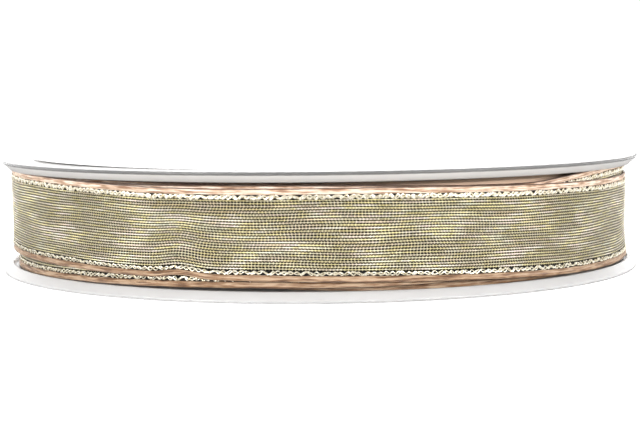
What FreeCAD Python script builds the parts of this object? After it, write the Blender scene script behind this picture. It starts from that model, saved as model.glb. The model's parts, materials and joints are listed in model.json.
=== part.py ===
import FreeCAD, Part
import math
import os
import re
import Sketcher

# Ribbon spool lying on its lower flange.  Millimetres, +Z up.
# The origin is the middle of the lower flange's outer face, on the spool's axis.
# The two flanges are one moulding used twice, pressed into a core tube.
# The woven ribbon has a satin hem with a fine wire along each long side, and is wound
# on the core.  Its free end lies at +Y and peels off the roll in three links.

DIMENSIONS = {
    "flange_radius": 62.5,
    "plate_thickness": 1.2,
    "plate_gap": 19.25,         # between the two flanges' inner faces
    "rim_thickness": 1.95,      # the rim is a bead, thicker than the plate inside it
    "rim_nose": 0.46,           # upright part of the rim, next to the outer face
    "flare_width": 1.6,         # cone that leads the ribbon in between the flanges
    "bead_slope": 0.4,          # radial run of the bead's inner side
    "rim_round": 0.2,
    "bore_radius": 10.0,
    "boss_wall": 1.2,
    "boss_height": 5.0,
    "spigot_wall": 1.2,
    "spigot_height": 6.0,
    "spigot_lead": 0.4,
    "web_count": 6,
    "web_thickness": 1.2,
    "web_height": 3.0,
    "core_radius": 30.0,
    "core_wall": 1.2,
    "label_radius": 56.6,
    "label_thickness": 0.2,
    "tape_thickness": 0.1,
    "core_tape_width": 12.0,
    "core_tape_sweep": 48.0,
    "roll_radius": 60.7,
    "ribbon_width": 15.5,
    "cloth_thickness": 0.35,
    "hem_width": 1.05,
    "hem_thickness": 0.6,
    "wire_diameter": 0.3,
    "turn_pitch": 0.75,
    "outer_rise": 0.9,          # the outer turn leaves the middle height by this much
    "second_rise": 1.7,
    "pack_inner_gap": 0.25,
    "pack_end_gap": 0.85,
    "tail_start": 65.0,         # degrees round the spool, from +X towards +Y
    "tail_link_sweep": 16.0,
    "tail_link_count": 3,
    "link_gap": 0.3,            # degrees of arc left open at each hinge
    "end_tape_width": 12.0,
    "end_tape_sweep": 14.0,
}
SHEET = "Dimensions"
SPOOL_HEIGHT = "2 * plate_thickness + plate_gap"
ORIGIN_POINT = 1
HORIZONTAL_AXIS = -1
VERTICAL_AXIS = -2

doc = FreeCAD.newDocument("ribbon_spool")
sheet = doc.addObject("Spreadsheet::Sheet", SHEET)
for row, (alias, value) in enumerate(DIMENSIONS.items(), start=1):
    sheet.set(f"A{row}", alias)
    sheet.set(f"B{row}", str(value))
    sheet.setAlias(f"B{row}", alias)
doc.recompute()


def cells(expression):
    """Put the sheet's name before every alias in an expression."""
    return re.sub(
        "[a-z_]+",
        lambda word: f"{SHEET}.{word[0]}" if word[0] in DIMENSIONS else word[0],
        expression)


def number(expression):
    """The value of an expression in the sheet's aliases, as the geometry's first guess."""
    value = sheet.evalExpression(cells(expression))
    return float(getattr(value, "Value", value))


def bind(feature, path, expression):
    feature.setExpression(path, cells(expression))


def origin_feature(body, role):
    return next(item for item in body.Origin.OriginFeatures if item.Role == role)


def new_body(label):
    body = doc.addObject("PartDesign::Body", label)
    body.Label = label
    return body


def new_sketch(body, name, plane):
    sketch = body.newObject("Sketcher::SketchObject", name)
    sketch.AttachmentSupport = [(origin_feature(body, plane), "")]
    sketch.MapMode = "FlatFace"
    return sketch


def place_vertex(sketch, line, across, up):
    """Tie the first end of a line to its two distances from the sketch's origin."""
    axes = (("DistanceX", across, VERTICAL_AXIS), ("DistanceY", up, HORIZONTAL_AXIS))
    for kind, expression, axis in axes:
        if expression == "0":
            sketch.addConstraint(Sketcher.Constraint("PointOnObject", line, 1, axis))
            continue
        value = number(expression)
        index = sketch.addConstraint(
            Sketcher.Constraint(kind, HORIZONTAL_AXIS, ORIGIN_POINT, line, 1, value))
        bind(sketch, f"Constraints[{index}]", expression)


def outline_sketch(body, name, plane, corners):
    """A closed outline of straight lines through corners given as expressions."""
    sketch = new_sketch(body, name, plane)
    points = [FreeCAD.Vector(number(across), number(up), 0) for across, up in corners]
    for index, point in enumerate(points):
        following = points[(index + 1) % len(points)]
        sketch.addGeometry(Part.LineSegment(point, following), False)
    for index in range(len(points)):
        following = (index + 1) % len(points)
        sketch.addConstraint(Sketcher.Constraint("Coincident", index, 2, following, 1))
    for index, (across, up) in enumerate(corners):
        place_vertex(sketch, index, across, up)
    return sketch


def circle_sketch(body, name, radii):
    """Circles about the spool's axis, on the body's XY plane."""
    sketch = new_sketch(body, name, "XY_Plane")
    for index, radius in enumerate(radii):
        circle = Part.Circle(FreeCAD.Vector(0, 0, 0), FreeCAD.Vector(0, 0, 1), number(radius))
        sketch.addGeometry(circle, False)
        sketch.addConstraint(
            Sketcher.Constraint("Coincident", index, 3, HORIZONTAL_AXIS, ORIGIN_POINT))
        constraint = sketch.addConstraint(Sketcher.Constraint("Radius", index, number(radius)))
        bind(sketch, f"Constraints[{constraint}]", radius)
    return sketch


def edges_at(feature, radius, height):
    """Names of the round edges of a feature at one radius and one height."""
    found = []
    for index, edge in enumerate(feature.Shape.Edges, start=1):
        curve = edge.Curve
        if curve.TypeId != "Part::GeomCircle":
            continue
        if abs(curve.Radius - radius) < 1e-4 and abs(curve.Center.z - height) < 1e-4:
            found.append(f"Edge{index}")
    return found


def ring_body(label, radii, length):
    """A disc or tube made by padding circles along the spool's axis."""
    body = new_body(label)
    sketch = circle_sketch(body, f"{label}_circles", radii)
    pad = body.newObject("PartDesign::Pad", f"{label}_pad")
    pad.Profile = sketch
    bind(pad, "Length", length)
    body.Tip = pad
    return body


def flange(label):
    """One moulded flange: plate, rim bead, bore boss, spigot for the core, and webs.

    It is drawn with its outer face at z = 0 and its spigot pointing up.
    """
    body = new_body(label)
    spigot = "core_radius - core_wall"
    spigot_inside = "core_radius - core_wall - spigot_wall"
    spigot_top = "plate_thickness + spigot_height"
    corners = [
        ("bore_radius", "0"),
        ("flange_radius", "0"),
        ("flange_radius", "rim_nose"),
        ("flange_radius - flare_width", "rim_thickness"),
        ("flange_radius - flare_width - bead_slope", "plate_thickness"),
        (spigot, "plate_thickness"),
        (spigot, spigot_top),
        (spigot_inside, spigot_top),
        (spigot_inside, "plate_thickness"),
        ("bore_radius + boss_wall", "plate_thickness"),
        ("bore_radius + boss_wall", "boss_height"),
        ("bore_radius", "boss_height"),
    ]
    profile = outline_sketch(body, f"{label}_profile", "XZ_Plane", corners)
    turned = body.newObject("PartDesign::Revolution", f"{label}_turned")
    turned.Profile = profile
    turned.ReferenceAxis = (profile, ["V_Axis"])
    turned.Angle = 360.0
    doc.recompute()

    rim = body.newObject("PartDesign::Fillet", f"{label}_rim")
    rim_radius = number("flange_radius")
    crest_radius = number("flange_radius - flare_width")
    rim_edges = edges_at(turned, rim_radius, 0.0)
    rim_edges += edges_at(turned, rim_radius, number("rim_nose"))
    rim_edges += edges_at(turned, crest_radius, number("rim_thickness"))
    rim.Base = (turned, rim_edges)
    bind(rim, "Radius", "rim_round")
    doc.recompute()

    lead = body.newObject("PartDesign::Chamfer", f"{label}_lead")
    lead.Base = (rim, edges_at(rim, number(spigot), number(spigot_top)))
    bind(lead, "Size", "spigot_lead")

    web_inside = "bore_radius + boss_wall / 2"
    web_outside = "core_radius - core_wall - spigot_wall / 2"
    web_outline = outline_sketch(body, f"{label}_web_outline", "XY_Plane", [
        (web_inside, "0 - web_thickness / 2"),
        (web_outside, "0 - web_thickness / 2"),
        (web_outside, "web_thickness / 2"),
        (web_inside, "web_thickness / 2"),
    ])
    web = body.newObject("PartDesign::Pad", f"{label}_web")
    web.Profile = web_outline
    bind(web, "Length", "plate_thickness + web_height")
    webs = body.newObject("PartDesign::PolarPattern", f"{label}_webs")
    webs.Originals = [web]
    webs.Axis = (origin_feature(body, "Z_Axis"), [""])
    webs.Angle = 360.0
    bind(webs, "Occurrences", "web_count")
    body.Tip = webs
    return body


def lift(feature, height):
    bind(feature, ".Placement.Base.z", height)


def full_cylinder(name, radius, low, height):
    cylinder = doc.addObject("Part::Cylinder", name)
    bind(cylinder, "Radius", radius)
    bind(cylinder, "Height", height)
    lift(cylinder, low)
    return cylinder


def sector(name, radius, start, sweep):
    """A tall wedge of a cylinder that covers one stretch of the spool's round."""
    wedge = full_cylinder(name, radius, "0", SPOOL_HEIGHT)
    wedge.Placement.Rotation = FreeCAD.Rotation(FreeCAD.Vector(0, 0, 1), number(start))
    bind(wedge, ".Placement.Rotation.Angle", start)
    bind(wedge, "Angle", sweep)
    return wedge


def slope(rise):
    """The angle of a plane that rises by rise between the axis and the roll."""
    return f"atan(({rise}) / roll_radius)"


def slanted(feature, rise):
    """Slant a feature about the Y axis so that it rises by rise towards -X at the roll."""
    angle = slope(rise)
    feature.Placement.Rotation = FreeCAD.Rotation(FreeCAD.Vector(0, 1, 0), number(angle))
    bind(feature, ".Placement.Rotation.Angle", angle)


def boolean(kind, name, base, tool):
    feature = doc.addObject(kind, name)
    feature.Base = base
    feature.Tool = tool
    feature.Label = name
    return feature


def slanted_band(name, inside, outside, low, height, rise, start, sweep):
    """A stretch of ribbon on the roll: a thin curved wall between two slanted faces."""
    wedge = sector(f"{name}_wedge", outside, start, sweep)
    middle = full_cylinder(f"{name}_middle", inside, "0", SPOOL_HEIGHT)
    wall = boolean("Part::Cut", f"{name}_wall", wedge, middle)
    thickness = f"({height}) * cos({slope(rise)})"
    slab = full_cylinder(f"{name}_slab", "flange_radius", low, thickness)
    slanted(slab, rise)
    return boolean("Part::Common", name, wall, slab)


GAP_MIDDLE = "(plate_thickness + plate_gap / 2)"
CLOTH_LOW = f"{GAP_MIDDLE} - ribbon_width / 2 + hem_width"
CLOTH_HEIGHT = "ribbon_width - 2 * hem_width"
HEM_LOWS = {
    "lower": f"{GAP_MIDDLE} - ribbon_width / 2",
    "upper": f"{GAP_MIDDLE} + ribbon_width / 2 - hem_width",
}


def cloth(label, turn, rise, start, sweep):
    """The woven middle of the ribbon over one stretch; turn 0 is the outermost."""
    outside = f"roll_radius - {turn} * turn_pitch - (hem_thickness - cloth_thickness) / 2"
    inside = f"{outside} - cloth_thickness"
    return slanted_band(label, inside, outside, CLOTH_LOW, CLOTH_HEIGHT, rise, start, sweep)


def hems(label, turn, rise, start, sweep, wires=None):
    """The two satin hems over one stretch, hollowed for their wires where it has them."""
    outside = f"roll_radius - {turn} * turn_pitch"
    inside = f"{outside} - hem_thickness"
    bands = [
        slanted_band(f"{label}_{side}", inside, outside, low, "hem_width", rise, start, sweep)
        for side, low in HEM_LOWS.items()
    ]
    if wires is None:
        return boolean("Part::Fuse", label, *bands)
    pair = boolean("Part::Fuse", f"{label}_pair", *bands)
    return boolean("Part::Cut", label, pair, wires)


def hem_wires(label, turn, rise, start, sweep):
    """The fine wire inside each hem over one stretch."""
    rings = []
    for side, low in HEM_LOWS.items():
        ring = doc.addObject("Part::Torus", f"{label}_{side}_ring")
        bind(ring, "Radius1", f"roll_radius - {turn} * turn_pitch - hem_thickness / 2")
        bind(ring, "Radius2", "wire_diameter / 2")
        lift(ring, f"{low} + hem_width / 2")
        slanted(ring, rise)
        rings.append(ring)
    pair = boolean("Part::Fuse", f"{label}_rings", *rings)
    wedge = sector(f"{label}_wedge", "flange_radius", start, sweep)
    return boolean("Part::Common", label, pair, wedge)


def tape_patch(label, inside, width, start, sweep):
    """A patch of adhesive tape lying round the spool's axis, level with the gap's middle."""
    low = f"{GAP_MIDDLE} - {width} / 2"
    outside = f"{inside} + tape_thickness"
    return slanted_band(label, inside, outside, low, width, "0", start, sweep)


# The moulded parts, the core and the label.
lower_flange = flange("lower_flange")
upper_flange = flange("upper_flange")
upper_flange.Placement.Rotation = FreeCAD.Rotation(FreeCAD.Vector(1, 0, 0), 180)
lift(upper_flange, SPOOL_HEIGHT)

hub_core = ring_body("hub_core", ["core_radius", "core_radius - core_wall"], "plate_gap")
lift(hub_core, "plate_thickness")

top_label = ring_body("top_label", ["label_radius"], "label_thickness")
lift(top_label, SPOOL_HEIGHT)

core_tape = tape_patch("core_tape", "core_radius", "core_tape_width", "0", "core_tape_sweep")

# The wound ribbon: the packed inner turns, then the turns that show between the flanges.
ribbon_pack = ring_body(
    "ribbon_pack",
    ["roll_radius - 3 * turn_pitch", "core_radius + pack_inner_gap"],
    "plate_gap - 2 * pack_end_gap",
)
lift(ribbon_pack, "plate_thickness + pack_end_gap")

FALLING = "outer_rise"          # high at -X, low at +X
CLIMBING = "0 - second_rise"    # low at -X, high at +X
TAIL_END = "tail_start + tail_link_count * tail_link_sweep"
OUTER_START = f"{TAIL_END} + link_gap"
OUTER_SWEEP = "360 - tail_link_count * tail_link_sweep - link_gap"

third_turn = cloth("third_turn", 2, FALLING, "0", "360")
third_turn_hems = hems("third_turn_hems", 2, FALLING, "0", "360")
second_turn = cloth("second_turn", 1, CLIMBING, "0", "360")
second_turn_hems = hems("second_turn_hems", 1, CLIMBING, "0", "360")
outer_turn = cloth("outer_turn", 0, FALLING, OUTER_START, OUTER_SWEEP)
outer_turn_wires = hem_wires("outer_turn_wires", 0, FALLING, OUTER_START, OUTER_SWEEP)
outer_turn_hems = hems(
    "outer_turn_hems", 0, FALLING, OUTER_START, OUTER_SWEEP, outer_turn_wires)

# The free end, one link after another, each a little short of the next hinge.
tail_parts = []
for link, link_name in enumerate(("tail_root", "tail_middle", "tail_tip")):
    link_start = f"tail_start + {link} * tail_link_sweep + link_gap"
    link_sweep = "tail_link_sweep - link_gap"
    wires = hem_wires(f"{link_name}_wires", 0, FALLING, link_start, link_sweep)
    tail_parts += [
        cloth(link_name, 0, FALLING, link_start, link_sweep),
        hems(f"{link_name}_hems", 0, FALLING, link_start, link_sweep, wires),
        wires,
    ]

end_tape = tape_patch(
    "end_tape", "roll_radius + tape_thickness / 2", "end_tape_width",
    f"{TAIL_END} - end_tape_sweep / 2", "end_tape_sweep")

SUB_PARTS = [
    lower_flange, upper_flange, hub_core, top_label, core_tape, ribbon_pack,
    third_turn, third_turn_hems, second_turn, second_turn_hems,
    outer_turn, outer_turn_hems, outer_turn_wires,
    *tail_parts, end_tape,
]

doc.recompute()
failed = [item.Label for item in doc.Objects if {"Invalid", "Error"} & set(item.State)]
if failed:
    raise RuntimeError(f"objects that did not compute: {failed}")
for part in SUB_PARTS:
    if part.Shape.isNull() or not part.Shape.isValid() or part.Shape.Volume <= 0:
        raise RuntimeError(f"{part.Label} has no valid solid")

# The webs have to stand above the disc: with them the flange is heavier than its revolution.
for part in (lower_flange, upper_flange):
    plain = doc.getObject(f"{part.Name}_lead").Shape.Volume
    if part.Shape.Volume <= plain:
        raise RuntimeError(f"{part.Label} lost its webs")

os.makedirs("parts", exist_ok=True)
for part in SUB_PARTS:
    part.Shape.exportStep(f"parts/{part.Label}.step")
    solids = len(part.Shape.Solids)
    print(f"{part.Label}: {solids} solid(s), {part.Shape.Volume:.2f} mm3")

ROLL_AREA = math.pi * (number("roll_radius") ** 2 - number("core_radius") ** 2)
print(f"ribbon on the roll: {ROLL_AREA / number('cloth_thickness') / 1000:.1f} m")
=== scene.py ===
import json
import math

import bpy
import numpy as np
from mathutils import Matrix, Vector


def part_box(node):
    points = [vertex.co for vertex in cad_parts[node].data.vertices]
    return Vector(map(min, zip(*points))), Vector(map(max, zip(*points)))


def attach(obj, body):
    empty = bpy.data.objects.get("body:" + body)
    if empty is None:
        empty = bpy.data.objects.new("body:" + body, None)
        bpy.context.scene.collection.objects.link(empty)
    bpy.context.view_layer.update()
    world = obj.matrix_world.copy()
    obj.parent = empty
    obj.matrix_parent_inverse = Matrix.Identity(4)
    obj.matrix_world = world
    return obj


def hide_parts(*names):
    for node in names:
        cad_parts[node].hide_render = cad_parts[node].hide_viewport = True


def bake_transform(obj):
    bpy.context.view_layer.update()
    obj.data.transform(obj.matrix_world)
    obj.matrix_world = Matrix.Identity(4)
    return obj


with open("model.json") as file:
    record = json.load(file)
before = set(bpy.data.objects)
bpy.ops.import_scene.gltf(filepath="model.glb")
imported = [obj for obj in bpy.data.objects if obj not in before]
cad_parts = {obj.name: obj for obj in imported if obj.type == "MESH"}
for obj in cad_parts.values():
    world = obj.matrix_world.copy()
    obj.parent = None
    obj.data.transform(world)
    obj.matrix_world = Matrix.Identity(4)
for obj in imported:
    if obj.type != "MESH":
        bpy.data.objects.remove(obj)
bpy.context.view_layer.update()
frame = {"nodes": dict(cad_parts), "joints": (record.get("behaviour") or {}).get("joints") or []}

# A spool of metallic woven ribbon with copper satin hems.  Metres; angles in degrees
# round the spool's axis from +X towards +Y, so the camera's side is at -90.
# The strip is one spiral: turn 0 is the outermost, and the angle grows towards the free end.

MM = 0.001

# ---------------------------------------------------------------- sizes from the frame
spool_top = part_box("upper_flange")[1].z
flange_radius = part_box("upper_flange")[1].x
roll_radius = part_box("outer_turn_hems")[1].x
core_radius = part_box("hub_core")[1].x
label_low, label_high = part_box("top_label")
hinge_angles = [
    math.degrees(math.atan2(joint["pos_m"][1], joint["pos_m"][0]))
    for joint in frame["joints"]
]
link_sweep = hinge_angles[1] - hinge_angles[0]
tail_tip_angle = hinge_angles[2] + link_sweep
turn_start = tail_tip_angle - 360

# ---------------------------------------------------------------- sizes of the ribbon
RIBBON_WIDTH = 15.5 * MM
HEM_WIDTH = 1.05 * MM
HEM_THICKNESS = 0.6 * MM
BRAID_WIDTH = 0.85 * MM
BRAID_PERIOD = 2.1 * MM     # one strand's zigzag; the two strands cross twice in it
CLOTH_THICKNESS = 0.35 * MM
YARN_PITCH = 0.454 * MM
YARN_RELIEF = 0.09 * MM
WEFT_PERIOD = 0.58          # mm, as the shaders measure
TURN_PITCH = 0.75 * MM
WIRE_RADIUS = 0.15 * MM
EDGE_REACH = 2.2 * MM       # how far from an edge its lean dies away
RIPPLE_OUT = 0.05 * MM      # the cloth's small waves, away from the axis and up
RIPPLE_UP = 0.11 * MM
BRAID_SWING = 0.26 * MM     # how far a strand swings to each side


def through(knots, angles):
    """A smooth curve through (angle, value) knots, flat beyond the first and last."""
    xs, ys = np.array(knots, float).T
    slopes = np.gradient(ys, xs)
    left = np.clip(np.searchsorted(xs, angles) - 1, 0, len(xs) - 2)
    span = xs[left + 1] - xs[left]
    t = np.clip((angles - xs[left]) / span, 0, 1)
    rising = t * t * (3 - 2 * t)
    return (
        (1 - rising) * ys[left]
        + rising * ys[left + 1]
        + t * (1 - t) ** 2 * span * slopes[left]
        - t * t * (1 - t) * span * slopes[left + 1]
    )


def hump(values, centre, width):
    return np.exp(-(((values - centre) / width) ** 2))


class Turn:
    """One turn of the ribbon: where its two edges run and how they lean.  Knots in mm."""

    def __init__(self, number, low, high, slack=None, low_lean=None, high_lean=None, curls=()):
        level = [(turn_start, 0), (tail_tip_angle, 0)]
        self.number = number
        self.low = low
        self.high = high
        self.slack = slack or level
        self.low_lean = low_lean or level
        self.high_lean = high_lean or level
        self.curls = curls

    def edges(self, angles):
        """Heights of the lower and upper edge."""
        low = through(self.low, angles)
        high = through(self.high, angles)
        for centre, width, rise, _ in self.curls:
            low = low + rise * hump(angles, centre, width)
        return low * MM, high * MM

    def point(self, angles, across, out):
        """Points at a distance across from the lower edge, and out from the middle surface.

        All three arguments broadcast together.
        """
        low, high = self.edges(angles)
        height = low + (high - low) * across / RIBBON_WIDTH
        spiral = self.number + (tail_tip_angle - angles) / 360
        radius = roll_radius - HEM_THICKNESS / 2 - TURN_PITCH * spiral
        near_low = hump(across, 0, EDGE_REACH)
        near_high = hump(across, RIBBON_WIDTH, EDGE_REACH)
        radius = radius + MM * (
            through(self.slack, angles)
            + through(self.low_lean, angles) * near_low
            + through(self.high_lean, angles) * near_high
        )
        for centre, width, _, stand_off in self.curls:
            radius = radius + stand_off * MM * hump(angles, centre, width) * near_low
        # Small waves, so that the cloth isn't a perfect cone.
        waist = np.sin(math.pi * across / RIBBON_WIDTH)
        turning = np.radians(angles)
        phase = 1.7 * self.number
        radius = radius + RIPPLE_OUT * waist * (
            np.sin(9 * turning + 260 * across + phase)
            + np.sin(23 * turning - 420 * across + 2 * phase)
        )
        height = height + RIPPLE_UP * waist * (
            np.sin(7 * turning + 500 * across + phase)
            + 0.6 * np.sin(17 * turning - 310 * across + 3 * phase)
        )
        radius = radius + out
        return np.stack(
            np.broadcast_arrays(radius * np.cos(turning), radius * np.sin(turning), height),
            axis=-1)


# Each curl: (angle, width in degrees, rise of the lower edge in mm, stand-off in mm).
outer = Turn(
    0,
    low=[(-247, 3.1), (-165, 4.3), (-140, 3.95), (-118, 3.55), (-90, 3.25), (-65, 2.7),
         (-48, 2.1), (-10, 2.05), (60, 2.9), (113, 3.1)],
    high=[(-247, 18.6), (-165, 20.0), (-140, 19.6), (-116, 18.85), (-76, 18.8),
          (-50, 18.25), (-32, 18.1), (-10, 18.1), (113, 18.6)],
    slack=[(-247, 0), (-215, 0.4), (-180, 0.7), (-150, 0.5), (-120, 0.3), (-90, 0.1),
           (-60, 0), (113, 0)],
    low_lean=[(-247, 0), (-180, 0.1), (-160, -0.2), (-138, -0.55), (-122, -0.25), (-100, 0),
              (113, 0)],
    curls=[(-113, 3.4, 0.75, 0.75)],
)
second = Turn(
    1,
    low=[(-247, 3.1), (-155, 1.35), (-139, 1.6), (-116, 1.95), (-102, 2.15), (-90, 2.15),
         (-75, 2.3), (-62, 2.9), (-47, 3.95), (-32, 4.85), (-5, 4.9), (113, 3.1)],
    high=[(-247, 18.6), (-155, 16.9), (-116, 17.5), (-92, 17.65), (-75, 17.8), (-62, 18.15),
          (-50, 18.7), (-41, 19.45), (-32, 20.1), (-5, 20.35), (113, 18.6)],
    low_lean=[(-247, 0), (-170, 0.45), (-130, 0.25), (-100, 0.1), (-70, 0), (113, 0)],
    high_lean=[(-247, 0), (-60, 0), (-30, 0.3), (-8, 0.6), (30, 0.2), (113, 0)],
)
third = Turn(
    2,
    low=[(-247, 3.1), (-150, 3.2), (-110, 3.6), (-75, 3.75), (-45, 3.6), (0, 2.6), (113, 3.1)],
    high=[(-247, 18.6), (-150, 18.7), (-110, 19.2), (-85, 19.1), (-60, 18.3), (-45, 18.3),
          (0, 18.2), (113, 18.6)],
    slack=[(-247, 0), (-150, 0), (-120, 0.25), (-60, 0.25), (-20, 0), (113, 0)],
)
INNER_TURNS = [
    Turn(
        3,
        low=[(-247, 3.1), (-150, 3.9), (-110, 2.4), (-90, 1.6), (-40, 1.5), (0, 2.6), (113, 3.1)],
        high=[(-247, 18.6), (-150, 19.4), (-110, 17.9), (-90, 17.1), (-40, 17.0), (0, 18.1),
              (113, 18.6)],
    ),
    Turn(
        4,
        low=[(-247, 3.1), (-130, 3.6), (-90, 3.9), (-50, 3.8), (0, 2.9), (113, 3.1)],
        high=[(-247, 18.6), (-130, 19.1), (-90, 19.2), (-50, 18.2), (0, 18.4), (113, 18.6)],
    ),
    Turn(
        5,
        low=[(-247, 3.1), (-120, 3.9), (-80, 3.5), (-50, 4.0), (0, 3.6), (113, 3.1)],
        high=[(-247, 18.6), (-120, 19.4), (-80, 18.8), (-50, 18.3), (0, 19.0), (113, 18.6)],
    ),
]


# ---------------------------------------------------------------- meshes
def placed(name, data):
    """A new object in the scene."""
    made = bpy.data.objects.new(name, data)
    bpy.context.scene.collection.objects.link(made)
    return made


def grid_piece(name, points, uv, material):
    """A tube made of rings: points[ring, place in ring], closed round each ring.

    The two ends are capped.  uv has one column more than points, for the seam.
    """
    rings, places = points.shape[:2]
    ring, place = np.meshgrid(np.arange(rings - 1), np.arange(places), indexing="ij")
    following = (place + 1) % places
    quads = np.stack([
        ring * places + place,
        ring * places + following,
        (ring + 1) * places + following,
        (ring + 1) * places + place,
    ], axis=-1).reshape(-1, 4)
    corner_uv = np.stack([
        uv[ring, place], uv[ring, place + 1], uv[ring + 1, place + 1], uv[ring + 1, place],
    ], axis=-2).reshape(-1, 2)
    first_cap = np.arange(places)[::-1]
    last_cap = (rings - 1) * places + np.arange(places)
    loops = np.concatenate([quads.ravel(), first_cap, last_cap])
    totals = np.concatenate([np.full(len(quads), 4), [places, places]])
    starts = np.concatenate([[0], np.cumsum(totals)[:-1]])
    cap_uv = np.concatenate([uv[0, first_cap], uv[-1, :places]])

    mesh = bpy.data.meshes.new(name)
    mesh.vertices.add(rings * places)
    mesh.vertices.foreach_set("co", points.astype(np.float32).ravel())
    mesh.loops.add(len(loops))
    mesh.loops.foreach_set("vertex_index", loops.astype(np.int32))
    mesh.polygons.add(len(totals))
    mesh.polygons.foreach_set("loop_start", starts.astype(np.int32))
    mesh.polygons.foreach_set("loop_total", totals.astype(np.int32))
    layer = mesh.uv_layers.new(name="ribbon")
    layer.data.foreach_set("uv", np.concatenate([corner_uv, cap_uv]).astype(np.float32).ravel())
    smooth = np.ones(len(totals), bool)
    smooth[-2:] = False
    mesh.polygons.foreach_set("use_smooth", smooth)
    mesh.update(calc_edges=True)
    mesh.validate()
    mesh.materials.append(material)
    return placed(name, mesh)


def join(name, pieces):
    """One object from several."""
    bpy.ops.object.select_all(action="DESELECT")
    for piece in pieces:
        piece.select_set(True)
    bpy.context.view_layer.objects.active = pieces[0]
    bpy.ops.object.join()
    pieces[0].name = name
    pieces[0].data.name = name
    return pieces[0]


def spaced_angles(start, end, spacing):
    """Angles from start to end, spacing metres apart on the roll."""
    count = max(2, round(math.radians(end - start) * roll_radius / spacing))
    return np.linspace(start, end, count + 1)


def along_mm(turn, angles):
    """Distance along the strip in mm, which runs on from one turn to the next."""
    return np.radians(angles - 360 * turn.number) * roll_radius / MM


def strip_uv(along, across):
    """Texture coordinates in mm along the strip, and across it or round it."""
    return np.stack(np.broadcast_arrays(along[:, None], across[None, :]), axis=-1)


def round_angles(count):
    """Angles of the points in one ring."""
    return np.linspace(0, 2 * math.pi, count + 1)[:-1]


def cloth_section(points_per_yarn):
    """The cloth's cross-section as (across, out) pairs: a ribbed face and a plain back."""
    body_low = HEM_WIDTH + BRAID_WIDTH
    body_high = RIBBON_WIDTH - body_low
    yarns = round((body_high - body_low) / YARN_PITCH)
    steps = np.arange(yarns * points_per_yarn + 1) / points_per_yarn
    across = body_low + steps / yarns * (body_high - body_low)
    out = CLOTH_THICKNESS / 2 - YARN_RELIEF * np.cos(2 * math.pi * steps)
    tuck = HEM_WIDTH - 0.25 * MM
    bed = 0.02 * MM
    face = [(tuck, bed), (HEM_WIDTH + 0.1 * MM, bed), *zip(across, out),
            (RIBBON_WIDTH - HEM_WIDTH - 0.1 * MM, bed), (RIBBON_WIDTH - tuck, bed)]
    back = [(a, -CLOTH_THICKNESS / 2) for a in np.linspace(RIBBON_WIDTH - tuck, tuck, 9)]
    return np.array(face + back)


def cloth_piece(name, turn, start, end, spacing, material, points_per_yarn=4):
    """The woven cloth of a turn, from one angle to another."""
    section = cloth_section(points_per_yarn)
    angles = spaced_angles(start, end, spacing)
    points = turn.point(angles[:, None], section[None, :, 0], section[None, :, 1])
    across = np.append(section[:, 0], section[0, 0]) / MM
    return grid_piece(name, points, strip_uv(along_mm(turn, angles), across), material)


def hem_piece(name, turn, start, end, spacing, material):
    """The satin hems: plump where the wire lies in the outer part, flatter towards the cloth."""
    angles = spaced_angles(start, end, spacing)
    around = round_angles(24)
    squared = 0.8
    flat = np.sign(np.cos(around)) * np.abs(np.cos(around)) ** squared
    tall = np.sign(np.sin(around)) * np.abs(np.sin(around)) ** squared
    along = along_mm(turn, angles)[:, None]
    pieces = []
    for side in ("low", "high"):
        centre = HEM_WIDTH / 2 if side == "low" else RIBBON_WIDTH - HEM_WIDTH / 2
        offset = 0 if side == "low" else 2.1
        plump = 1 + 0.05 * np.sin(1.9 * along + offset) + 0.04 * np.sin(0.73 * along + 2 * offset)
        across = centre + tall[None, :] * HEM_WIDTH / 2 * (2 - plump)
        inward = tall if side == "low" else -tall
        step = np.clip((inward + 0.05) / 0.35, 0, 1)
        thin = 1 - 0.5 * step * step * (3 - 2 * step)
        out = (flat * thin)[None, :] * HEM_THICKNESS / 2 * plump
        points = turn.point(angles[:, None], across, out)
        if side == "high":
            points = points[:, ::-1]
        round_mm = np.linspace(0, 2 * HEM_WIDTH / MM, len(around) + 1)
        uv = strip_uv(along[:, 0], round_mm)
        pieces.append(grid_piece(f"{name}_{side}", points, uv, material))
    return join(name, pieces)


def braid_piece(name, turn, start, end, material, points_per_period=12):
    """Two flat strands that cross in a zigzag beside each hem."""
    angles = spaced_angles(start, end, BRAID_PERIOD / points_per_period)
    along = along_mm(turn, angles)
    around = round_angles(6)
    half_thick = 0.1 * MM
    middle = HEM_WIDTH + BRAID_WIDTH / 2
    pieces = []
    upper_half_wide = (0.25 + 0.06 * turn.number) * MM
    for side, centre, half_wide in (
            ("low", middle, 0.155 * MM), ("high", RIBBON_WIDTH - middle, upper_half_wide)):
        for strand in (0, 1):
            drift = 0.8 * np.sin((0.53 + 0.11 * strand) * along + 2 * strand)
            drift += 0.5 * np.sin(1.37 * along + 3 * strand + 200 * centre)
            phase = 2 * math.pi * along * MM / BRAID_PERIOD + drift + strand * math.pi
            zigzag = np.arcsin(0.93 * np.sin(phase)) / math.asin(0.93)
            over = np.cos(phase) * 0.05 * MM
            swing = BRAID_SWING * (1 + 0.25 * np.sin(0.9 * along + strand))
            broad = half_wide * (1 + 0.3 * np.sin(2.3 * along + 2 * strand + 400 * centre))
            across = centre + zigzag * swing
            across = across[:, None] + np.sin(around)[None, :] * broad[:, None]
            rest = CLOTH_THICKNESS / 2 + 0.06 * MM
            out = rest + over[:, None] + np.cos(around)[None, :] * half_thick
            points = turn.point(angles[:, None], across, out)
            ring = np.linspace(0, 1, len(around) + 1)
            uv = strip_uv(along, ring)
            pieces.append(grid_piece(f"{name}_{side}{strand}", points, uv, material))
    return join(name, pieces)


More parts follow.
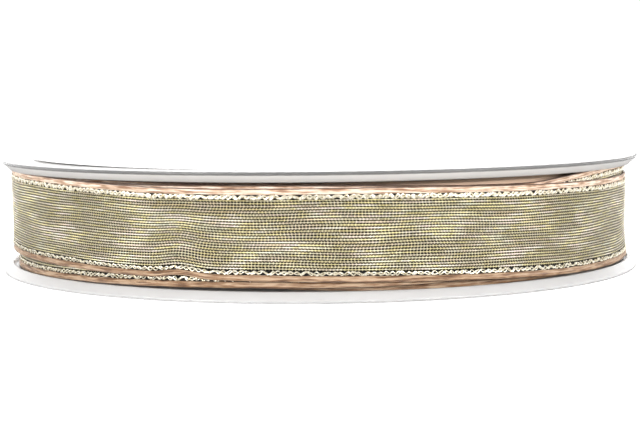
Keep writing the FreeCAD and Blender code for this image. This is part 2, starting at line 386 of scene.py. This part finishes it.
def wire_piece(name, turn, start, end, material):
    """The fine wire in the middle of each hem."""
    angles = spaced_angles(start, end, 1.5 * MM)
    around = round_angles(8)
    pieces = []
    for side, centre in (("low", HEM_WIDTH / 2), ("high", RIBBON_WIDTH - HEM_WIDTH / 2)):
        across = centre + np.sin(around)[None, :] * WIRE_RADIUS
        out = np.cos(around)[None, :] * WIRE_RADIUS
        points = turn.point(angles[:, None], across, out)
        ring = np.linspace(0, 1, len(around) + 1)
        uv = strip_uv(along_mm(turn, angles), ring)
        pieces.append(grid_piece(f"{name}_{side}", points, uv, material))
    return join(name, pieces)


def lathe_piece(name, outline, segments, material, height_shift=None):
    """A closed outline of (radius, height) pairs turned about the spool's axis."""
    outline = np.array(outline, float)
    angles = np.linspace(0, 2 * math.pi, segments, endpoint=False)
    count = len(outline)
    radius = np.broadcast_to(outline[None, :, 0], (segments, count))
    height = np.broadcast_to(outline[None, :, 1], (segments, count)).copy()
    if height_shift is not None:
        height += height_shift(radius, np.degrees(angles)[:, None])
    points = np.stack([
        radius * np.cos(angles)[:, None], radius * np.sin(angles)[:, None], height], axis=-1)
    segment, place = np.meshgrid(np.arange(segments), np.arange(count), indexing="ij")
    after = (segment + 1) % segments
    following = (place + 1) % count
    quads = np.stack([
        segment * count + place, after * count + place,
        after * count + following, segment * count + following], axis=-1).reshape(-1, 4)
    mesh = bpy.data.meshes.new(name)
    mesh.from_pydata(points.reshape(-1, 3).tolist(), [], quads.tolist())
    mesh.polygons.foreach_set("use_smooth", np.ones(len(quads), bool))
    mesh.update()
    mesh.materials.append(material)
    return placed(name, mesh)


# ---------------------------------------------------------------- materials
class Recipe:
    """A node material round one Principled shader."""

    def __init__(self, name, colour, roughness, metallic=0.0, **settings):
        self.material = bpy.data.materials.new(name)
        self.material.use_nodes = True
        self.material.diffuse_color = (*colour, 1)
        self.tree = self.material.node_tree
        self.shader = self.tree.nodes["Principled BSDF"]
        self.shader.inputs["Base Color"].default_value = (*colour, 1)
        self.shader.inputs["Roughness"].default_value = roughness
        self.shader.inputs["Metallic"].default_value = metallic
        for socket, value in settings.items():
            self.shader.inputs[socket.replace("_", " ")].default_value = value

    def node(self, kind, **settings):
        made = self.tree.nodes.new(kind)
        for key, value in settings.items():
            setattr(made, key, value)
        return made

    def feed(self, socket, value):
        if isinstance(value, bpy.types.NodeSocket):
            self.tree.links.new(value, socket)
        else:
            socket.default_value = value

    def math(self, operation, *values, clamp=False):
        made = self.node("ShaderNodeMath", operation=operation, use_clamp=clamp)
        for socket, value in zip(made.inputs, values):
            self.feed(socket, value)
        return made.outputs[0]

    def ramp(self, value, low, high, smooth=True):
        """0 below low, 1 above high."""
        kind = "SMOOTHSTEP" if smooth else "LINEAR"
        made = self.node("ShaderNodeMapRange", interpolation_type=kind)
        self.feed(made.inputs["Value"], value)
        self.feed(made.inputs["From Min"], low)
        self.feed(made.inputs["From Max"], high)
        return made.outputs["Result"]

    def scaled(self, value, low, high):
        """From low, where value is 0, to high, where it is 1."""
        return self.math("MULTIPLY_ADD", value, high - low, low)

    def vector(self, x, y, z=0.0):
        made = self.node("ShaderNodeCombineXYZ")
        for socket, value in zip(made.inputs, (x, y, z)):
            self.feed(socket, value)
        return made.outputs[0]

    def noise(self, vector, scale, detail=2.0, roughness=0.5):
        made = self.node("ShaderNodeTexNoise")
        self.feed(made.inputs["Vector"], vector)
        made.inputs["Scale"].default_value = scale
        made.inputs["Detail"].default_value = detail
        made.inputs["Roughness"].default_value = roughness
        return made.outputs["Fac"]

    def blend(self, factor, first, second):
        made = self.node("ShaderNodeMix", data_type="RGBA")
        self.feed(made.inputs["Factor"], factor)
        colours = [socket for socket in made.inputs if socket.type == "RGBA"]
        for socket, colour in zip(colours, (first, second)):
            self.feed(socket, (*colour, 1) if isinstance(colour, tuple) else colour)
        return next(socket for socket in made.outputs if socket.type == "RGBA")

    def shades(self, value, *stops):
        """A colour ramp from (position, colour) stops."""
        made = self.node("ShaderNodeValToRGB")
        elements = made.color_ramp.elements
        while len(elements) < len(stops):
            elements.new(0.5)
        for element, (position, colour) in zip(elements, stops):
            element.position = position
            element.color = (*colour, 1)
        self.feed(made.inputs["Fac"], value)
        return made.outputs["Color"]

    def bump(self, height, distance, strength=1.0):
        made = self.node("ShaderNodeBump")
        made.inputs["Distance"].default_value = distance
        made.inputs["Strength"].default_value = strength
        self.feed(made.inputs["Height"], height)
        self.feed(self.shader.inputs["Normal"], made.outputs["Normal"])

    def strip(self):
        """Along and across the ribbon, in mm."""
        uv = self.node("ShaderNodeUVMap", uv_map="ribbon")
        split = self.node("ShaderNodeSeparateXYZ")
        self.feed(split.inputs[0], uv.outputs["UV"])
        return split.outputs[0], split.outputs[1]

    def place(self):
        return self.node("ShaderNodeTexCoord").outputs["Object"]

    def place_xyz(self):
        split = self.node("ShaderNodeSeparateXYZ")
        self.feed(split.inputs[0], self.place())
        return split.outputs

    def upper_half(self, height):
        """0 on the spool's lower half, 1 on its upper half."""
        return self.ramp(height, spool_top * 0.4, spool_top * 0.6)


def lurex_material():
    """Metal-wrapped yarns along the ribbon, woven over and under fine weft threads."""
    r = Recipe("white_gold_lurex", (0.80, 0.74, 0.56), 0.34, 0.6,
               Sheen_Weight=0.16, Sheen_Roughness=0.4, Sheen_Tint=(1.0, 0.97, 0.88, 1))
    along, across = r.strip()
    body_low = (HEM_WIDTH + BRAID_WIDTH) / MM
    pitch = YARN_PITCH / MM
    row = r.math("DIVIDE", r.math("SUBTRACT", across, body_low), pitch)
    index = r.math("FLOOR", row)
    from_crest = r.math("ABSOLUTE", r.math("SUBTRACT", r.math("FRACT", row), 0.5))
    groove = r.ramp(from_crest, 0.13, 0.19)

    def by_row(stretch, row_step, scale=1.0):
        return r.noise(r.vector(r.math("MULTIPLY", along, stretch),
                                r.math("MULTIPLY", index, row_step)), scale)

    hue = by_row(0.12, 5.37)
    fine = by_row(1.9, 3.1)
    patches = r.noise(r.vector(r.math("MULTIPLY", along, 0.09),
                               r.math("MULTIPLY", across, 0.26)), 1.0)
    shade = r.ramp(r.math("MULTIPLY_ADD", by_row(0.09, 9.7), 0.8, patches), 0.68, 1.0)
    light = r.shades(
        hue,
        (0.30, (0.90, 0.94, 0.80)), (0.40, (1.0, 0.95, 0.72)), (0.47, (1.0, 0.89, 0.44)),
        (0.53, (1.0, 0.97, 0.86)), (0.60, (1.0, 0.86, 0.82)), (0.70, (1.0, 0.82, 0.52)))
    own_phase = r.math("MULTIPLY_ADD", by_row(0.12, 3.3), 12.0, r.math(
        "MULTIPLY", by_row(0.0, 7.31), 60.0))
    weft = r.math("SINE", r.math("MULTIPLY_ADD", along, 2 * math.pi / WEFT_PERIOD, own_phase))
    # Painted shade: each yarn is darkened where it dips under a weft thread.
    under = r.math("MULTIPLY", r.ramp(weft, 0.2, -0.8), r.scaled(shade, 0.08, 0.42))
    thread = r.blend(under, light, (0.20, 0.155, 0.05))
    thread = r.blend(r.math("MULTIPLY", shade, 0.62), thread, (0.30, 0.235, 0.10))
    thread = r.blend(r.math("MULTIPLY", r.ramp(fine, 0.48, 0.32), 0.45), thread, (0.34, 0.28, 0.12))
    # Painted shade: the grooves between the yarns are coloured near black, as if in shadow. Where a
    # weft thread crosses a groove, the weft shows its own colour.
    painted_gap_shade = r.blend(shade, (0.03, 0.022, 0.008), (0.002, 0.002, 0.002))
    crossing = r.ramp(r.math("ADD", weft, r.math("MULTIPLY", fine, 0.9)), 1.0, 1.5)
    gap = r.blend(crossing, painted_gap_shade, (0.50, 0.43, 0.26))
    # Painted shade: the cloth outside the yarns, under the braid and hems, is coloured near black
    # so that it shows as shadow between the braid's strands.
    bare = r.math("ADD", r.math("LESS_THAN", across, body_low),
                  r.math("GREATER_THAN", across, RIBBON_WIDTH / MM - body_low))
    woven = r.blend(groove, thread, gap)
    r.feed(r.shader.inputs["Base Color"], r.blend(bare, woven, (0.006, 0.006, 0.006)))
    r.feed(r.shader.inputs["Metallic"], r.scaled(groove, 0.25, 0.0))
    r.feed(r.shader.inputs["Specular IOR Level"], r.scaled(groove, 0.5, 0.1))
    r.feed(r.shader.inputs["Roughness"], r.scaled(fine, 0.3, 0.55))
    yarn = r.math("MULTIPLY", weft, r.math("SUBTRACT", 1.0, groove))
    r.bump(r.math("ADD", yarn, r.math("MULTIPLY", fine, 0.8)), 0.03 * MM)
    return r.material


def braid_material():
    """Bright flat metal strip, brushed a little by handling."""
    r = Recipe("white_gold_strip", (0.93, 0.88, 0.76), 0.22, 0.6)
    along, ring = r.strip()
    grain = r.noise(r.vector(r.math("MULTIPLY", along, 1.3), ring), 1.0, 3.0)
    colour = r.shades(grain, (0.36, (0.42, 0.35, 0.21)), (0.48, (0.80, 0.73, 0.55)),
                      (0.62, (0.92, 0.88, 0.78)))
    r.feed(r.shader.inputs["Base Color"], colour)
    r.feed(r.shader.inputs["Roughness"], r.scaled(grain, 0.12, 0.4))
    r.bump(grain, 0.02 * MM)
    return r.material


def satin_material():
    """Copper satin: fine threads wrapped aslant over the wire, with painted shade along the outer
    edge.

    The upper hems are painted paler, as if lit, and the lower ones darker, as if in shade.
    """
    r = Recipe("copper_satin", (0.72, 0.50, 0.38), 0.42, 0.0,
               Sheen_Weight=0.3, Sheen_Roughness=0.35, Sheen_Tint=(1.0, 0.80, 0.66, 1),
               Specular_IOR_Level=0.6)
    along, around = r.strip()
    aslant = r.math("MULTIPLY_ADD", around, 1.6, along)
    cloud = r.noise(r.vector(r.math("MULTIPLY", along, 0.35), r.math("MULTIPLY", around, 3.0)), 1.0)
    streak = r.noise(r.vector(r.math("MULTIPLY", aslant, 0.16),
                              r.math("MULTIPLY", around, 6.5)), 1.0, 3.0)
    mixed = r.math("MULTIPLY_ADD", streak, 0.65, r.math("MULTIPLY", cloud, 0.4))
    # Painted light and shade: a darker, shaded copy of the satin colours for the spool's lower half
    # and a paler, lit copy for its upper half.
    lower = r.shades(mixed, (0.41, (0.10, 0.042, 0.014)), (0.50, (0.29, 0.155, 0.073)),
                     (0.60, (0.50, 0.345, 0.22)))
    upper = r.shades(mixed, (0.41, (0.28, 0.14, 0.075)), (0.50, (0.64, 0.42, 0.28)),
                     (0.60, (0.98, 0.82, 0.68)))
    colour = r.blend(r.upper_half(r.place_xyz()[2]), lower, upper)
    # Painted shade: a dark line along each hem's outer edge.
    inward = r.math("SINE", r.math("MULTIPLY", around, math.pi / (HEM_WIDTH / MM)))
    lit = r.ramp(inward, -0.97, -0.65)
    r.feed(r.shader.inputs["Base Color"], r.blend(lit, (0.08, 0.03, 0.012), colour))
    thread = r.math("SINE", r.math("MULTIPLY", aslant, 2 * math.pi / 0.32))
    r.bump(r.math("MULTIPLY_ADD", thread, 0.5, streak), 0.05 * MM)
    r.feed(r.shader.inputs["Roughness"], r.scaled(cloud, 0.32, 0.52))
    return r.material


def wire_material():
    """Drawn copper wire."""
    r = Recipe("copper_wire", (0.72, 0.43, 0.28), 0.3, 1.0)
    along, ring = r.strip()
    drawn = r.noise(r.vector(r.math("MULTIPLY", along, 0.4), r.math("MULTIPLY", ring, 9.0)), 1.0)
    r.feed(r.shader.inputs["Base Color"],
           r.blend(drawn, (0.60, 0.34, 0.21), (0.80, 0.52, 0.36)))
    r.feed(r.shader.inputs["Roughness"], r.scaled(drawn, 0.2, 0.42))
    return r.material


def plastic_material():
    """Milky white moulded plastic, smooth, with faint flow marks and rubbed patches.

    The thin nose of the upper rim is clearer, so it reads as a grey line.
    """
    r = Recipe("milky_plastic", (0.63, 0.62, 0.61), 0.15, 0.0, IOR=1.5,
               Subsurface_Weight=1.0, Subsurface_Scale=0.003)
    r.shader.inputs["Subsurface Radius"].default_value = (1.0, 0.97, 0.95)
    flow = r.noise(r.place(), 60.0, 3.0)
    rub = r.noise(r.place(), 900.0, 2.0, 0.7)
    x, y, height = r.place_xyz()
    radius = r.math("SQRT", r.math("ADD", r.math("POWER", x, 2.0), r.math("POWER", y, 2.0)))
    rim = r.ramp(radius, flange_radius - 0.32 * MM, flange_radius - 0.08 * MM)
    nose = r.math("MULTIPLY", rim, r.upper_half(height))
    r.feed(r.shader.inputs["Transmission Weight"], r.scaled(nose, 0.12, 0.81))
    r.feed(r.shader.inputs["Base Color"], r.blend(flow, (0.60, 0.588, 0.58), (0.65, 0.638, 0.63)))
    r.feed(r.shader.inputs["Roughness"], r.scaled(rub, 0.14, 0.3))
    r.bump(r.math("MULTIPLY_ADD", rub, 0.25, flow), 0.02 * MM)
    return r.material


def paper_material():
    """Smooth coated label paper."""
    r = Recipe("label_paper", (0.95, 0.95, 0.945), 0.45, 0.0, Specular_IOR_Level=0.4)
    fibre = r.noise(r.place(), 2600.0, 4.0, 0.6)
    cloud = r.noise(r.place(), 90.0, 2.0)
    r.feed(r.shader.inputs["Base Color"],
           r.blend(cloud, (0.935, 0.935, 0.93), (0.965, 0.965, 0.96)))
    r.feed(r.shader.inputs["Roughness"], r.scaled(fibre, 0.38, 0.55))
    r.bump(fibre, 0.012 * MM)
    return r.material


def board_material():
    """Grey-brown paper board of the core tube, wound on a slant."""
    r = Recipe("core_board", (0.60, 0.51, 0.40), 0.8)
    fibre = r.noise(r.place(), 1800.0, 4.0)
    wind = r.node("ShaderNodeTexWave", wave_type="BANDS", bands_direction="DIAGONAL")
    r.feed(wind.inputs["Vector"], r.place())
    wind.inputs["Scale"].default_value = 60.0
    r.feed(r.shader.inputs["Base Color"], r.blend(fibre, (0.50, 0.41, 0.31), (0.70, 0.61, 0.49)))
    r.bump(r.math("ADD", wind.outputs["Fac"], fibre), 0.05 * MM)
    return r.material


def tape_material():
    """Clear glossy tape with a few trapped bubbles."""
    r = Recipe("clear_tape", (0.85, 0.83, 0.76), 0.1, 0.0, Alpha=0.14, Coat_Weight=0.6,
               Coat_Roughness=0.06, IOR=1.48)
    bubble = r.noise(r.place(), 700.0, 2.0)
    r.feed(r.shader.inputs["Roughness"], r.scaled(bubble, 0.06, 0.25))
    r.bump(bubble, 0.03 * MM)
    return r.material


lurex = lurex_material()
braid = braid_material()
satin = satin_material()
wire = wire_material()
plastic = plastic_material()
paper = paper_material()
board = board_material()
tape = tape_material()


# ---------------------------------------------------------------- the wound ribbon
def dress(piece, nodes=(), body="spool"):
    """Hides the nodes a piece replaces and attaches the piece to the body it rides on."""
    if nodes:
        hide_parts(*nodes)
    if body:
        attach(piece, body)
    return piece


def ribbon_turn(name, turn, start, end, spacing, node, points_per_yarn):
    """Cloth, braid and hems of one turn that rides on the spool."""
    cloth = cloth_piece(f"{name}_cloth", turn, start, end, spacing, lurex, points_per_yarn)
    strands = braid_piece(f"{name}_braid", turn, start, end, braid)
    hems = hem_piece(f"{name}_hems", turn, start, end, spacing * 1.5, satin)
    dress(cloth, [node])
    dress(strands)
    dress(hems, [f"{node}_hems"])


# The pieces of the strip meet half way along each link.
half_link = link_sweep / 2
cuts = [hinge_angles[0] - half_link]
cuts += [angle + half_link for angle in hinge_angles[:2]]
cuts += [tail_tip_angle]

ribbon_turn("outer_ribbon", outer, turn_start, cuts[0], 0.6 * MM, "outer_turn", 4)
outer_wires = wire_piece("outer_ribbon_wires", outer, turn_start, cuts[0], wire)
dress(outer_wires, ["outer_turn_wires"])
ribbon_turn("second_ribbon", second, turn_start, tail_tip_angle, 0.9 * MM, "second_turn", 4)
ribbon_turn("third_ribbon", third, turn_start, tail_tip_angle, 1.8 * MM, "third_turn", 3)

inner_hems = []
for turn in INNER_TURNS:
    hems = hem_piece(f"inner_hems_{turn.number}", turn, turn_start, tail_tip_angle, 2 * MM, satin)
    inner_hems.append(hems)
for turn in INNER_TURNS:
    cloth = cloth_piece(
        f"inner_cloth_{turn.number}", turn, turn_start, tail_tip_angle, 3 * MM, lurex, 2)
    dress(cloth)
dress(join("inner_ribbon_hems", inner_hems))


def pack_outline():
    """Cross-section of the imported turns: every turn's edge shows as a small round."""
    loose_turns = len(INNER_TURNS) + 3.9    # the turns above, and a little room
    outer_radius = roll_radius - loose_turns * TURN_PITCH
    inner_radius = core_radius + 0.3 * MM
    margin = 2.9 * MM
    low, high = margin, spool_top - margin
    turns = int((outer_radius - inner_radius) / TURN_PITCH)
    steps = np.arange(turns * 4 + 1) / 4
    radius = outer_radius - steps * TURN_PITCH
    uneven = 0.35 * MM * np.sin(1.3 * np.floor(steps)) * np.sin(0.37 * np.floor(steps) + 1)
    crest = 0.22 * MM * np.abs(np.sin(math.pi * steps))
    top = list(zip(radius, high + crest + uneven))
    bottom = list(zip(radius[::-1], (low - crest + uneven)[::-1]))
    return top + bottom


pack = lathe_piece("ribbon_pack_core", pack_outline(), 180, satin)
dress(pack, ["ribbon_pack"])


# ---------------------------------------------------------------- the free end
TAIL_NODES = ["tail_root", "tail_middle", "tail_tip"]


def tail_stretch(index):
    """One stretch of the free end, from one cut to the next; it rides on no body."""
    node = TAIL_NODES[index]
    start, end = cuts[index], cuts[index + 1]
    name = f"free_end_{index + 1}"
    cloth = cloth_piece(f"{name}_cloth", outer, start, end, 0.6 * MM, lurex)
    strands = braid_piece(f"{name}_braid", outer, start, end, braid)
    hems = hem_piece(f"{name}_hems", outer, start, end, 0.9 * MM, satin)
    wires = wire_piece(f"{name}_wires", outer, start, end, wire)
    dress(cloth, [node], body=None)
    dress(strands, body=None)
    dress(hems, [f"{node}_hems"], body=None)
    dress(wires, [f"{node}_wires"], body=None)
    for piece in (cloth, strands, hems, wires):
        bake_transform(piece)


for index in range(len(TAIL_NODES)):
    tail_stretch(index)


def tape_piece():
    """The clear tab that holds the free end: it steps down past the ribbon's cut end."""
    low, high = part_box("end_tape")
    sweep = 7.0
    angles = np.linspace(tail_tip_angle - sweep, tail_tip_angle + sweep, 41)
    step_start, step_length = 0.4, 2.2      # degrees past the cut end
    past = np.clip((angles - tail_tip_angle - step_start) / step_length, 0, 1)
    drop = TURN_PITCH * 0.85 * past * past * (3 - 2 * past)
    radius = roll_radius + 0.1 * MM - drop
    thick = 0.06 * MM
    heights = np.linspace(low.z, high.z, 7)
    rounded = 0.6 * MM * np.abs(np.linspace(-1, 1, len(angles))) ** 12
    ring_z = np.concatenate([heights, heights[::-1]])
    middle = (low.z + high.z) / 2
    ring_out = np.concatenate([np.full(len(heights), thick), np.zeros(len(heights))])
    ring_z = middle + (ring_z[None, :] - middle) * (1 - rounded[:, None] / (high.z - middle))
    ring_radius = radius[:, None] + ring_out[None, :]
    turning = np.radians(angles)[:, None]
    points = np.stack(np.broadcast_arrays(
        ring_radius * np.cos(turning), ring_radius * np.sin(turning), ring_z), axis=-1)
    points = points[:, ::-1]
    uv = np.zeros((len(angles), points.shape[1] + 1, 2))
    return grid_piece("end_tape_tab", points, uv, tape)


dress(tape_piece(), ["end_tape"], body="free_end_tip")


# ---------------------------------------------------------------- label and hard parts
LABEL_LIFT = 0.3 * MM


def label_piece():
    """The round label: flat on the flange, with its edge lifting a little on one side."""
    radius = label_high.x
    rings = np.linspace(0.3 * MM, radius, 40)
    top = [(r, label_high.z) for r in rings]
    bottom = [(r, label_low.z) for r in rings[::-1]]

    def lifted(r, angle):
        rim = np.clip((r - 0.86 * radius) / (0.14 * radius), 0, 1) ** 2
        turned = (angle + 180) % 360 - 180
        return LABEL_LIFT * rim * (hump(turned, -150, 28) + hump(turned, 60, 22))

    return lathe_piece("round_label", top + bottom, 240, paper, lifted)


dress(label_piece(), ["top_label"])

for node, material in (
        ("lower_flange", plastic), ("upper_flange", plastic),
        ("hub_core", board), ("core_tape", tape)):
    for slot in frame["nodes"][node].material_slots:
        slot.material = material


# ---------------------------------------------------------------- studio
TENT_FRONT = 0.62           # brightness of the tent's parts, as the surfaces see them
TENT_WALLS = 1.7
TENT_ROOF = 0.5
FLOOR_GLOW = 0.28
CAMERA_WALLS = 1.15         # and as the camera sees them: plain white
CAMERA_FLOOR = 1.06
FLOOR_RADIUS = 0.2
FRONT_BOX_SIZE = (0.25, 0.12)
FRONT_BOX_WATTS = 3.8
OVERHEAD_BOX_SIZE = (0.9, 0.7)
OVERHEAD_BOX_WATTS = 6.5


def studio_floor():
    """A light table that is white for the camera and dim for the surfaces."""
    centre = 0.5 * MM
    under = -1 * MM
    outline = [(centre, 0), (FLOOR_RADIUS / 2, 0), (FLOOR_RADIUS, 0), (FLOOR_RADIUS, under),
               (centre, under)]
    r = Recipe("light_table", (0.2, 0.2, 0.2), 0.9, Specular_IOR_Level=0.1,
               Emission_Color=(1.0, 1.0, 1.0, 1))
    grain = r.noise(r.place(), 400.0)
    seen = r.node("ShaderNodeLightPath").outputs["Is Camera Ray"]
    glow = r.scaled(seen, FLOOR_GLOW, CAMERA_FLOOR)
    uneven = r.scaled(grain, 0.97, 1.03)
    r.feed(r.shader.inputs["Emission Strength"], r.math("MULTIPLY", glow, uneven))
    floor = lathe_piece("studio_floor", outline, 96, r.material)


def studio_world():
    """White for the camera; for the surfaces, a tent that is dim where the camera stands."""
    world = bpy.data.worlds.new("studio")
    bpy.context.scene.world = world
    world.use_nodes = True
    tree = world.node_tree
    path = tree.nodes.new("ShaderNodeLightPath")
    place = tree.nodes.new("ShaderNodeTexCoord")
    split = tree.nodes.new("ShaderNodeSeparateXYZ")
    tree.links.new(place.outputs["Generated"], split.inputs[0])

    def ramp(value, start, end, first, last):
        made = tree.nodes.new("ShaderNodeMapRange")
        made.interpolation_type = "SMOOTHSTEP"
        tree.links.new(value, made.inputs["Value"])
        for socket, setting in (("From Min", start), ("From Max", end), ("To Max", last)):
            made.inputs[socket].default_value = setting
        if isinstance(first, float):
            made.inputs["To Min"].default_value = first
        else:
            tree.links.new(first, made.inputs["To Min"])
        return made.outputs["Result"]

    walls = ramp(split.outputs["Y"], -0.95, -0.45, TENT_FRONT, TENT_WALLS)
    tent = ramp(split.outputs["Z"], 0.2, 0.6, walls, TENT_ROOF)
    seen = ramp(path.outputs["Is Camera Ray"], 0.0, 1.0, tent, CAMERA_WALLS)
    tree.links.new(seen, tree.nodes["Background"].inputs["Strength"])
    tree.nodes["Background"].inputs["Color"].default_value = (1, 1, 1, 1)


def soft_light(name, place, aim, size, watts):
    """A rectangular area light at place, turned towards aim."""
    data = bpy.data.lights.new(name, "AREA")
    data.shape = "RECTANGLE"
    data.size, data.size_y = size
    data.energy = watts
    lamp = placed(name, data)
    lamp.location = place
    lamp.rotation_euler = (Vector(aim) - Vector(place)).to_track_quat("-Z", "Y").to_euler()
    lamp.visible_camera = False


studio_floor()
studio_world()
soft_light("overhead_box", (0, 0.45, 0.7), (0, 0, 0.02), OVERHEAD_BOX_SIZE, OVERHEAD_BOX_WATTS)
for side, x in (("left", -0.48), ("right", 0.48)):
    soft_light(f"front_{side}_box", (x, -0.5, 0.13), (0, 0, 0.01), FRONT_BOX_SIZE, FRONT_BOX_WATTS)

CAMERA_BACK = 5.187         # in flange radii, from the spool's axis
CAMERA_UP = 0.588
CAMERA_DOWN_DEGREES = 4.765
CAMERA_ROLL_DEGREES = 0.605
CAMERA_LENS = 90.84
camera_data = bpy.data.cameras.new("camera")
camera_data.lens = CAMERA_LENS
camera_data.clip_start = 0.01
camera = placed("camera", camera_data)
camera.location = (0, -CAMERA_BACK * flange_radius, CAMERA_UP * flange_radius)
camera.rotation_mode = "XYZ"
camera.rotation_euler = (
    Matrix.Rotation(math.radians(90 - CAMERA_DOWN_DEGREES), 3, "X")
    @ Matrix.Rotation(math.radians(-CAMERA_ROLL_DEGREES), 3, "Z")
).to_euler()
bpy.context.scene.camera = camera
bpy.context.scene.view_settings.view_transform = "Standard"
